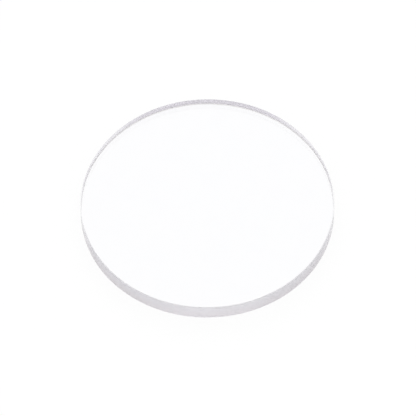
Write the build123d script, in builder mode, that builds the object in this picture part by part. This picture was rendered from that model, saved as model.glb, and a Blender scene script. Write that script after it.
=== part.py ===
"""Flat round watch crystal: one polished disc of clear sapphire with a ground edge.

Millimetres. The underside, which lies on the watch case's seat, is on Z = 0 with its
centre at the origin. +Z points out of the watch, towards the wearer.
"""

import os

from build123d import *

# Driving dimensions
diameter = 28.0  # over the ground edge, where the case grips the crystal
thickness = 2.0  # from polished underside to polished top face
top_bevel = 0.1  # legs of the 45 degree bevel that breaks the outer rim
underside_bevel = 0.1  # legs of the one that clears the corner of the seat

radius = diameter / 2

with BuildPart() as crystal:
    # Half of the cross-section, from the axis out to the ground edge
    with BuildSketch(Plane.XZ) as half_section:
        Rectangle(radius, thickness, align=(Align.MIN, Align.MIN))
        edge_corners = half_section.vertices().group_by(Axis.X)[-1].sort_by(Axis.Y)
        chamfer(edge_corners[0], length=underside_bevel)
        chamfer(edge_corners[-1], length=top_bevel)
    revolve(axis=Axis.Z)

crystal.part.label = "crystal"

os.makedirs("parts", exist_ok=True)
export_step(crystal.part, "parts/crystal.step")
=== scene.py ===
"""Dresses a packed watch crystal: a sapphire disc with polished faces and a ground edge.

Metres. The disc lies on Z = 0 with its axis upright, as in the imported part.
"""

import math

import bmesh
import bpy
from mathutils import Matrix, Vector


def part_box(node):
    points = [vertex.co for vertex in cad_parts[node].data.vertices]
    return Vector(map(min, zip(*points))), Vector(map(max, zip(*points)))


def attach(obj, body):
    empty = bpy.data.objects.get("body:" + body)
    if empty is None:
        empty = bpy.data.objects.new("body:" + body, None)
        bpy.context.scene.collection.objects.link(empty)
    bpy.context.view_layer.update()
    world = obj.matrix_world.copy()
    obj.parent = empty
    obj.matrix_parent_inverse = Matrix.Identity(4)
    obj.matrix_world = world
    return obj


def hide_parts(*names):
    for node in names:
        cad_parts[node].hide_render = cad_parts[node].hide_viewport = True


bl_info = {
    "name": "Watch Crystal",
    "version": (1, 0, 0),
    "blender": (4, 5, 0),
    "location": "View3D > Sidebar > Crystal",
    "description": "Turns a flat sapphire watch crystal and lays it in a white studio",
    "category": "Add Mesh",
}

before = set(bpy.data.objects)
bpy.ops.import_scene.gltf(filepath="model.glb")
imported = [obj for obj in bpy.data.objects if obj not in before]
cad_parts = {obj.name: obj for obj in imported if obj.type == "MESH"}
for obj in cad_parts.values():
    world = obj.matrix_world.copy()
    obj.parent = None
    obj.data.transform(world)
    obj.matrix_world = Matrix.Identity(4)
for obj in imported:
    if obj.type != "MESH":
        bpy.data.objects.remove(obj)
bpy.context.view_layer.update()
SEAT, CROWN = (Vector(corner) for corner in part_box("crystal"))

MM = 0.001
WHITE = (1, 1, 1, 1)

# Widths of the spots and lines of each finish, which the noise only roughly keeps
HAZE_SPOTS = 2.2 * MM
POLISHING_SWIRLS = 0.35 * MM
WHEEL_LINES = 0.03 * MM
GRINDING_PITS = 0.05 * MM
GROUND_PATCHES = 0.9 * MM

# What makes the polished faces rough
POLISH_ROUGHNESS = 0.002
HAZE_ROUGHNESS = 0.012
SWIRL_ROUGHNESS = 0.004

# The ground edge: how its roughness varies, and how strongly its scratches tilt it
PATCHINESS = 0.18
STREAKINESS = 0.13
SCRATCH_STRENGTH = 0.78
COARSE_SHARE = 0.6  # of two patterns laid together, the coarser one's part

# The coat of painted shade that light inside the sapphire meets at the ground edge
PAINTED_SHADE_ROUGHNESS = 0.3
PAINTED_SHADE_IOR = 1.5

# Slack for telling that two places are one, in metres, and which way a face leans
PLACE_SLACK = 1e-6
LEAN_SLACK = 0.02

# The stage
FLOOR_REACH = 2.0  # metres from the disc's centre to each side
FLOOR_GAP = 0.002 * MM  # keeps the floor clear of the underside
SENSOR_WIDTH = 36  # millimetres
NEAREST_SEEN = 5 * MM  # in front of the camera
BOUNCES = 32  # light is thrown about inside the disc many times before it leaves


# Shader graphs


class Wire:
    """An output of a shader graph that takes part in Python sums."""

    def __init__(self, tree, output=None):
        self.tree = tree
        self.output = output

    def node(self, kind, settings=None, values=None, output=0):
        """Adds a node, settings before sockets, and returns one of its outputs."""
        made = self.tree.nodes.new(kind)
        for name, value in (settings or {}).items():
            setattr(made, name, value)
        for name, value in (values or {}).items():
            socket = made.inputs[name]
            if isinstance(value, Wire):
                self.tree.links.new(value.output, socket)
            else:
                socket.default_value = value
        return Wire(self.tree, made.outputs[output])

    def math(self, operation, first, second):
        return self.node("ShaderNodeMath", {"operation": operation}, {0: first, 1: second})

    def larger(self, other):
        return self.math("MAXIMUM", self, other)

    def __add__(self, other):
        return self.math("ADD", self, other)

    def __radd__(self, other):
        return self.math("ADD", other, self)

    def __sub__(self, other):
        return self.math("SUBTRACT", self, other)

    def __rsub__(self, other):
        return self.math("SUBTRACT", other, self)

    def __mul__(self, other):
        return self.math("MULTIPLY", self, other)

    def __rmul__(self, other):
        return self.math("MULTIPLY", other, self)

    def blend(self, first, second, how="MIX"):
        """A colour that goes from the first to the second as this value goes from 0 to 1."""
        return self.node(
            "ShaderNodeMix",
            {"data_type": "RGBA", "blend_type": how},
            {"Factor": self, 6: first, 7: second},
            output=2,
        )

    def spread(self, low, high, first=0.0, last=1.0):
        """This value's range from low to high, laid smoothly over first to last."""
        return self.node(
            "ShaderNodeMapRange",
            {"interpolation_type": "SMOOTHSTEP"},
            {"Value": self, "From Min": low, "From Max": high, "To Min": first, "To Max": last},
        )


def colour(value):
    return (*value, 1.0)


def build_graph(owner, output_kind, surface):
    """Gives a material or world the look whose shader the function surface builds."""
    owner.use_nodes = True
    tree = owner.node_tree
    tree.nodes.clear()
    output = tree.nodes.new(output_kind)
    tree.links.new(surface(Wire(tree)).output, output.inputs["Surface"])
    return owner


def material_of(name, surface):
    """A new material whose whole look is the shader that surface builds."""
    return build_graph(bpy.data.materials.new(name), "ShaderNodeOutputMaterial", surface)


def grain(start, width, stretch=(1, 1, 1), detail=2.0):
    """Noise on the piece's own coordinates, with spots of a width in metres."""
    place = start.node("ShaderNodeTexCoord", output="Object")
    scale = tuple(1 / (width * along) for along in stretch)
    laid = start.node("ShaderNodeMapping", None, {"Vector": place, "Scale": scale})
    return start.node("ShaderNodeTexNoise", None, {"Vector": laid, "Scale": 1.0, "Detail": detail})


def laid_together(coarse, fine):
    """One pattern out of two, in which the coarser one tells more."""
    return coarse * COARSE_SHARE + fine * (1 - COARSE_SHARE)


def polished_sapphire(finish):
    """Clear lapped faces with the faintest haze left by the last polish."""

    def surface(start):
        haze = grain(start, HAZE_SPOTS, detail=4.0).spread(low=0.35, high=0.75)
        swirl = grain(start, POLISHING_SWIRLS, stretch=(3, 1, 1)).spread(low=0.4, high=0.7)
        roughness = haze * HAZE_ROUGHNESS + swirl * SWIRL_ROUGHNESS + POLISH_ROUGHNESS
        return start.node(
            "ShaderNodeBsdfPrincipled",
            None,
            {
                "Base Color": haze.blend(colour(finish.clear), colour(finish.clear_haze)),
                "Roughness": roughness,
                "IOR": finish.ior,
                "Transmission Weight": 1.0,
            },
        )

    return material_of("polished_sapphire", surface)


def ground_sapphire(finish, part):
    """The frosted edge: wheel lines along the rim over a fine, slightly patchy grain.

    Light inside the sapphire meets a second finish there, which scatters none of it back as
    a matt surface would, and whose coat tint is painted shade that darkens the edge seen from
    within, by an amount that changes with the slant. Seen aslant, frosting glosses over and at last
    clears.
    """

    def own(word):
        return getattr(finish, part + "_" + word)

    def surface(start):
        lines = grain(start, WHEEL_LINES, stretch=(22, 22, 1), detail=3.0)
        pits = grain(start, GRINDING_PITS, detail=3.0)
        patches = grain(start, GROUND_PATCHES, stretch=(1, 1, 0.6), detail=3.0)
        patches = patches.spread(low=0.3, high=0.7)
        grit = 1 + (patches - 0.5) * PATCHINESS + (lines - 0.5) * STREAKINESS

        place = start.node("ShaderNodeTexCoord", output="Object")
        height = start.node("ShaderNodeSeparateXYZ", None, {"Vector": place}, output="Z")
        rise = height.spread(SEAT.z, CROWN.z)
        # On the bevels the colour grows lighter towards the top: a painted highlight of the light
        # that the top bevel catches from above
        hue = rise.blend(colour(finish.ground_foot), colour(own("brow")))
        tone = laid_together(patches, lines).spread(low=0.25, high=0.75)
        # Random darker patches and lines over that colour, which on the top bevel holds a painted
        # highlight
        patches_and_highlight = (1 - tone).blend(hue, colour(finish.ground_shade), how="MULTIPLY")

        inside = start.node("ShaderNodeNewGeometry", output="Backfacing")
        slant = start.node("ShaderNodeLayerWeight", None, {"Blend": 0.5}, output="Facing")
        frost = slant.spread(*own("frost"))
        # How much painted shade the coat puts on the edge seen from within, growing and then
        # thinning with the slant
        film = slant.spread(*own("painted_shade_grows")) * slant.spread(*own("painted_shade_thins"))
        bumps = start.node(
            "ShaderNodeBump",
            None,
            {
                "Strength": frost * SCRATCH_STRENGTH,
                "Distance": finish.scratch_depth,
                "Height": laid_together(lines, pits),
            },
        )

        frosted = start.node(
            "ShaderNodeBsdfPrincipled",
            None,
            {
                "Base Color": patches_and_highlight,
                "Roughness": grit * frost,
                "IOR": finish.ior,
                "Transmission Weight": finish.ground_clearness,
                "Normal": bumps,
            },
        )
        clear = start.node(
            "ShaderNodeBsdfPrincipled",
            None,
            {
                "Base Color": colour(finish.ground_within),
                "Roughness": grit * slant.spread(*own("frost_within")),
                "IOR": finish.ior,
                "Transmission Weight": 1.0,
                # The coat tint is painted shade on light that meets the edge from inside the
                # sapphire
                "Coat Weight": inside * film,
                "Coat Roughness": PAINTED_SHADE_ROUGHNESS,
                "Coat IOR": PAINTED_SHADE_IOR,
                "Coat Tint": colour(own("film")),
                "Normal": bumps,
            },
        )
        clearing = inside.larger(slant.spread(*own("clears")))
        return start.node("ShaderNodeMixShader", None, {0: clearing, 1: frosted, 2: clear})

    return material_of("ground_" + part, surface)


# The disc


def object_of(name, bm, materials):
    """An object at the origin with the shape of a bmesh, which is used up."""
    mesh = bpy.data.meshes.new(name)
    bm.to_mesh(mesh)
    bm.free()
    for material in materials:
        mesh.materials.append(material)
    return bpy.data.objects.new(name, mesh)


def ring_edges(bm, radius, height):
    """The edges of the turned disc that lie on one circle about its axis."""

    def on_ring(vert):
        out = abs(vert.co.xy.length - radius)
        up = abs(vert.co.z - height)
        return out < PLACE_SLACK and up < PLACE_SLACK

    verts = {vert for vert in bm.verts if on_ring(vert)}
    return [edge for edge in bm.edges if verts.issuperset(edge.verts)]


def turned_disc(sizes):
    """Spins half of the cross-section about the axis and softens its four arrises."""
    radius = sizes.diameter / 2
    top = SEAT.z + sizes.thickness
    section = [
        (0, SEAT.z),
        (radius - sizes.underside_bevel, SEAT.z),
        (radius, SEAT.z + sizes.underside_bevel),
        (radius, top - sizes.top_bevel),
        (radius - sizes.top_bevel, top),
        (0, top),
    ]
    bm = bmesh.new()
    verts = [bm.verts.new((out, 0, up)) for out, up in section]
    edges = [bm.edges.new(pair) for pair in zip(verts, verts[1:])]
    bmesh.ops.spin(
        bm,
        geom=verts + edges,
        cent=(0, 0, 0),
        axis=(0, 0, 1),
        angle=math.tau,
        steps=sizes.steps,
        use_merge=True,
    )
    bmesh.ops.remove_doubles(bm, verts=bm.verts, dist=PLACE_SLACK)
    arrises = [e for out, up in section[1:5] for e in ring_edges(bm, out, up)]
    bmesh.ops.bevel(
        bm,
        geom=arrises,
        offset=sizes.arris,
        offset_type="OFFSET",
        segments=2,
        profile=0.5,
        affect="EDGES",
        material=-1,
    )
    bmesh.ops.recalc_face_normals(bm, faces=bm.faces)
    return bm


def kind_of(face):
    """Which of the disc's surfaces a face is on: a flat, the wall, a bevel or an arris."""
    lean = abs(face.normal.z)
    for kind, value in (("flat", 1.0), ("wall", 0.0), ("bevel", math.sqrt(0.5))):
        if abs(lean - value) < LEAN_SLACK:
            return kind
    return "arris"


def shade(bm):
    """Gives each face its place in the disc's materials and parts the surfaces sharply."""
    slots = {"flat": 0, "wall": 1, "bevel": 2, "arris": 2}
    kinds = {face: kind_of(face) for face in bm.faces}
    for face, kind in kinds.items():
        face.material_index = slots[kind]
        face.smooth = kind != "flat"
    for edge in bm.edges:
        edge.smooth = len({kinds[face] for face in edge.link_faces}) == 1


class CRYSTAL_PG_sizes(bpy.types.PropertyGroup):
    """Sizes of the disc. The frame's box is in single precision, so its own are rounded."""

    diameter: bpy.props.FloatProperty(
        name="Diameter",
        description="Over the ground edge, where the case grips the crystal",
        default=round(CROWN.x - SEAT.x, 5),
        subtype="DISTANCE",
        precision=5,
    )
    thickness: bpy.props.FloatProperty(
        name="Thickness",
        description="From polished underside to polished top face",
        default=round(CROWN.z - SEAT.z, 6),
        subtype="DISTANCE",
        precision=5,
    )
    top_bevel: bpy.props.FloatProperty(
        name="Top Bevel",
        description="Legs of the 45 degree bevel around the top face",
        default=0.1 * MM,
        subtype="DISTANCE",
        precision=5,
    )
    underside_bevel: bpy.props.FloatProperty(
        name="Underside Bevel",
        description="Legs of the 45 degree bevel around the underside",
        default=0.1 * MM,
        subtype="DISTANCE",
        precision=5,
    )
    arris: bpy.props.FloatProperty(
        name="Arris",
        description="How far each corner of the ground edge is rounded by polishing",
        default=0.012 * MM,
        subtype="DISTANCE",
        precision=6,
    )
    steps: bpy.props.IntProperty(
        name="Steps",
        description="Faces around the rim",
        default=720,
        min=32,
    )


def over_slant(name, meaning, default):
    """A value that changes with the slant of the look at a surface, 0 face on and 1 edge on."""
    return bpy.props.FloatVectorProperty(
        name=name,
        description=meaning + ": slants where it starts and stops to change, value before and after",
        default=default,
        size=4,
        min=0,
        max=1,
    )


class CRYSTAL_PG_finish(bpy.types.PropertyGroup):
    """Colours and optics of the sapphire."""

    clear: bpy.props.FloatVectorProperty(
        name="Clear",
        description="Colour of light that has passed the polished faces",
        default=(0.99, 0.99, 1.0),
        subtype="COLOR",
        min=0,
        max=1,
    )
    clear_haze: bpy.props.FloatVectorProperty(
        name="Haze",
        description="The same where the polish left the faintest haze",
        default=(0.982, 0.983, 0.998),
        subtype="COLOR",
        min=0,
        max=1,
    )
    ground_foot: bpy.props.FloatVectorProperty(
        name="Ground, Foot",
        description="Colour of the ground edge at the underside",
        default=(0.762, 0.727, 0.76),
        subtype="COLOR",
        min=0,
        max=1,
    )
    ground_shade: bpy.props.FloatVectorProperty(
        name="Ground, Shade",
        description="What the darker patches and lines of the ground edge leave of that",
        default=(0.965, 0.965, 0.97),
        subtype="COLOR",
        min=0,
        max=1,
    )
    ground_within: bpy.props.FloatVectorProperty(
        name="Ground, Within",
        description="Colour of light that has met the ground edge inside the sapphire",
        default=(0.97, 0.966, 0.971),
        subtype="COLOR",
        min=0,
        max=1,
    )
    ground_clearness: bpy.props.FloatProperty(
        name="Ground Clearness",
        description="Share of the light that passes the frosting, where the rest is scattered back",
        default=0.5,
        subtype="FACTOR",
        min=0,
        max=1,
    )
    scratch_depth: bpy.props.FloatProperty(
        name="Scratch Depth",
        description="Depth of the wheel lines and pits of the ground edge",
        default=0.001 * MM,
        subtype="DISTANCE",
        precision=6,
    )
    wall_brow: bpy.props.FloatVectorProperty(
        name="Wall, Top",
        description="Colour of the wall where it nears the top face",
        default=(0.757, 0.742, 0.782),
        subtype="COLOR",
        min=0,
        max=1,
    )
    wall_frost: over_slant(
        "Wall Frost",
        "How frosted the wall is",
        (0.72, 0.9, 0.45, 0.28),
    )
    wall_frost_within: over_slant(
        "Wall Frost Within",
        "The same for light inside the sapphire",
        (0.64, 0.82, 0.4, 0.25),
    )
    # Painted shade: the coat tint that darkens the wall where it is seen from inside the sapphire,
    # and below it how much of it there is at each slant
    wall_film: bpy.props.FloatVectorProperty(
        name="Wall Painted Shade",
        description="What the ground layer leaves of light that meets it inside the sapphire",
        default=(0.82, 0.79, 0.845),
        subtype="COLOR",
        min=0,
        max=1,
    )
    wall_painted_shade_grows: over_slant(
        "Wall Painted Shade Grows",
        "How much of that film there is, as it grows",
        (0.2, 0.6, 0.3, 1.0),
    )
    wall_painted_shade_thins: over_slant(
        "Wall Painted Shade Thins",
        "How much of it is left, as it thins",
        (0.7, 0.76, 1.0, 0.45),
    )
    wall_clears: over_slant(
        "Wall Clears",
        "How clear the frosting has become",
        (0.86, 1.0, 0.0, 1.0),
    )
    # Lighter than the underside's colour: a painted highlight of the light that the top bevel
    # catches from above
    bevel_brow: bpy.props.FloatVectorProperty(
        name="Bevel, Top",
        description="Colour of the bevel around the top face",
        default=(0.83, 0.82, 0.845),
        subtype="COLOR",
        min=0,
        max=1,
    )
    bevel_frost: over_slant(
        "Bevel Frost",
        "How frosted the bevels are",
        (0.22, 0.42, 0.45, 0.135),
    )
    bevel_frost_within: over_slant(
        "Bevel Frost Within",
        "The same for light inside the sapphire",
        (0.22, 0.42, 0.3, 0.18),
    )
    # Painted shade: the coat tint that darkens the bevels where they are seen from inside the
    # sapphire, and below it how much of it there is at each slant
    bevel_film: bpy.props.FloatVectorProperty(
        name="Bevel Painted Shade",
        description="What the ground layer leaves of light that meets it inside the sapphire",
        default=(0.85, 0.835, 0.835),
        subtype="COLOR",
        min=0,
        max=1,
    )
    bevel_painted_shade_grows: over_slant(
        "Bevel Painted Shade Grows",
        "How much of that film there is, here all of it from the start",
        (0.0, 1.0, 1.0, 1.0),
    )
    bevel_painted_shade_thins: over_slant(
        "Bevel Painted Shade Thins",
        "How much of it is left, as it thins",
        (0.14, 0.3, 1.0, 0.0),
    )
    bevel_clears: over_slant(
        "Bevel Clears",
        "How clear the frosting has become",
        (0.3, 0.42, 0.0, 1.0),
    )
    ior: bpy.props.FloatProperty(
        name="Index",
        description="Refractive index of sapphire",
        default=1.77,
        min=1,
    )


class CRYSTAL_OT_disc(bpy.types.Operator):
    """Turns the disc and gives it its polished and ground finishes"""

    bl_idname = "crystal.disc"
    bl_label = "Disc"

    def execute(self, context):
        finish = context.scene.crystal_finish
        bm = turned_disc(context.scene.crystal_sizes)
        shade(bm)
        # In the order of the places that shade gives
        materials = (
            polished_sapphire(finish),
            ground_sapphire(finish, "wall"),
            ground_sapphire(finish, "bevel"),
        )
        disc = object_of("sapphire_disc", bm, materials)
        context.collection.objects.link(disc)
        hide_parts("crystal")
        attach(disc, "root")
        return {"FINISHED"}


# The stage


class CRYSTAL_PG_studio(bpy.types.PropertyGroup):
    """Camera and light."""

    elevation: bpy.props.FloatProperty(
        name="Elevation",
        description="Height of the camera above the floor, as an angle at the disc's centre",
        default=math.radians(55.65),
        subtype="ANGLE",
    )
    distance: bpy.props.FloatProperty(
        name="Distance",
        description="From the camera to the disc's centre",
        default=364 * MM,
        subtype="DISTANCE",
    )
    roll: bpy.props.FloatProperty(
        name="Roll",
        description="Turn of the camera about its own line of sight",
        default=math.radians(-0.72),
        subtype="ANGLE",
    )
    aim: bpy.props.FloatVectorProperty(
        name="Aim",
        description="Point on the floor at the centre of the frame",
        default=(0.069 * MM, 0.438 * MM, 0),
        subtype="XYZ",
        precision=6,
    )
    lens: bpy.props.FloatProperty(
        name="Lens",
        description="Focal length in millimetres on a sensor 36 mm wide",
        default=284.6,
    )
    fill: bpy.props.FloatProperty(
        name="Fill",
        description="Even white light from all around, which is also what lies past the floor",
        default=1.0,
        min=0,
    )
    softbox: bpy.props.FloatProperty(
        name="Softbox",
        description="Light of the broad lamp low behind the disc, on a surface that faces it",
        default=0.3,
        min=0,
    )
    softbox_height: bpy.props.FloatProperty(
        name="Softbox Height",
        description="Angle of the middle of that lamp above the floor",
        default=math.radians(27),
        subtype="ANGLE",
    )
    softbox_width: bpy.props.FloatProperty(
        name="Softbox Width",
        description="Angle that the lamp fills",
        default=math.radians(46),
        subtype="ANGLE",
    )
    floor: bpy.props.FloatVectorProperty(
        name="Floor",
        description="Colour of the floor",
        default=(0.94, 0.94, 0.94),
        subtype="COLOR",
        min=0,
        max=1,
    )
    backlit: bpy.props.FloatProperty(
        name="Backlit",
        description="Share of the floor's light that comes from below it",
        default=0.93,
        subtype="FACTOR",
        min=0,
        max=1,
    )


def add_camera(studio):
    """Stands the camera on its line of sight, then rolls it."""
    spot = Vector((0, -math.cos(studio.elevation), math.sin(studio.elevation))) * studio.distance
    look = (Vector(studio.aim) - spot).normalized()
    across = look.cross(Vector((0, 0, 1))).normalized()
    level = Matrix((across, across.cross(look), -look)).transposed()
    camera = bpy.data.objects.new("camera", bpy.data.cameras.new("camera"))
    camera.matrix_world = (
        Matrix.Translation(spot) @ level.to_4x4() @ Matrix.Rotation(studio.roll, 4, "Z")
    )
    camera.data.sensor_width = SENSOR_WIDTH
    camera.data.lens = studio.lens
    camera.data.clip_start = NEAREST_SEEN
    return camera


def floor_material(studio):
    """Pale table lit from below, with enough of it matt to hold the disc's shadow.

    Seen in or through the glass it is all glow. What it throws onto the frosting is only
    the light that it gets from above.
    """

    def surface(start):
        matt = start.node("ShaderNodeBsdfDiffuse", None, {"Color": colour(studio.floor)})
        glow = start.node("ShaderNodeEmission", None, {"Color": WHITE, "Strength": 1.0})
        camera = start.node("ShaderNodeLightPath", output="Is Camera Ray")
        glossy = start.node("ShaderNodeLightPath", output="Is Glossy Ray")
        through = start.node("ShaderNodeLightPath", output="Is Transmission Ray")
        share = camera * studio.backlit + glossy.larger(through)
        return start.node("ShaderNodeMixShader", None, {0: share, 1: matt, 2: glow})

    material = material_of("floor", surface)
    # Its glow depends on the ray, so counting it as a lamp as well would lose light
    material.cycles.emission_sampling = "NONE"
    return material


def studio_world(studio):
    """Even white light from all around."""

    def surface(start):
        return start.node("ShaderNodeBackground", None, {"Color": WHITE, "Strength": studio.fill})

    return build_graph(bpy.data.worlds.new("studio"), "ShaderNodeOutputWorld", surface)


def add_floor(studio):
    """Lays the floor just under the disc."""
    bm = bmesh.new()
    bmesh.ops.create_grid(
        bm,
        x_segments=1,
        y_segments=1,
        size=FLOOR_REACH,
        matrix=Matrix.Translation((0, 0, SEAT.z - FLOOR_GAP)),
    )
    return object_of("floor", bm, [floor_material(studio)])


def add_softbox(studio):
    """One broad soft lamp low behind the disc, which lights up its ground edge from within."""
    lamp = bpy.data.lights.new("softbox", "SUN")
    lamp.energy = studio.softbox * math.pi
    lamp.angle = studio.softbox_width
    softbox = bpy.data.objects.new("softbox", lamp)
    softbox.rotation_euler.x = studio.softbox_height - math.radians(90)
    softbox.visible_glossy = False  # the polished faces show no image of it
    return softbox


class CRYSTAL_OT_stage(bpy.types.Operator):
    """Lays the floor, sets the light and stands the camera"""

    bl_idname = "crystal.stage"
    bl_label = "Stage"

    def execute(self, context):
        scene = context.scene
        studio = scene.crystal_studio
        floor = add_floor(studio)
        camera = add_camera(studio)
        for thing in (floor, camera, add_softbox(studio)):
            context.collection.objects.link(thing)
        scene.camera = camera
        scene.world = studio_world(studio)
        scene.view_settings.view_transform = "Standard"
        scene.cycles.max_bounces = BOUNCES
        scene.cycles.glossy_bounces = BOUNCES
        scene.cycles.transmission_bounces = BOUNCES
        return {"FINISHED"}


class CRYSTAL_PT_panel(bpy.types.Panel):
    """Sizes, finish and studio of the crystal."""

    bl_label = "Watch Crystal"
    bl_space_type = "VIEW_3D"
    bl_region_type = "UI"
    bl_category = "Crystal"

    def draw(self, context):
        layout = self.layout
        for group, operator in (
            ("crystal_sizes", None),
            ("crystal_finish", CRYSTAL_OT_disc.bl_idname),
            ("crystal_studio", CRYSTAL_OT_stage.bl_idname),
        ):
            box = layout.box()
            values = getattr(context.scene, group)
            for name in GROUPS[group].__annotations__:
                box.prop(values, name)
            if operator:
                box.operator(operator)


GROUPS = {
    "crystal_sizes": CRYSTAL_PG_sizes,
    "crystal_finish": CRYSTAL_PG_finish,
    "crystal_studio": CRYSTAL_PG_studio,
}
OTHERS = (CRYSTAL_OT_disc, CRYSTAL_OT_stage, CRYSTAL_PT_panel)


def register():
    for name, group in GROUPS.items():
        bpy.utils.register_class(group)
        setattr(bpy.types.Scene, name, bpy.props.PointerProperty(type=group))
    for other in OTHERS:
        bpy.utils.register_class(other)


def unregister():
    for other in reversed(OTHERS):
        bpy.utils.unregister_class(other)
    for name, group in GROUPS.items():
        delattr(bpy.types.Scene, name)
        bpy.utils.unregister_class(group)


def main():
    """Builds the scene."""
    register()
    bpy.ops.crystal.disc()
    bpy.ops.crystal.stage()


if __name__ == "__main__":
    main()
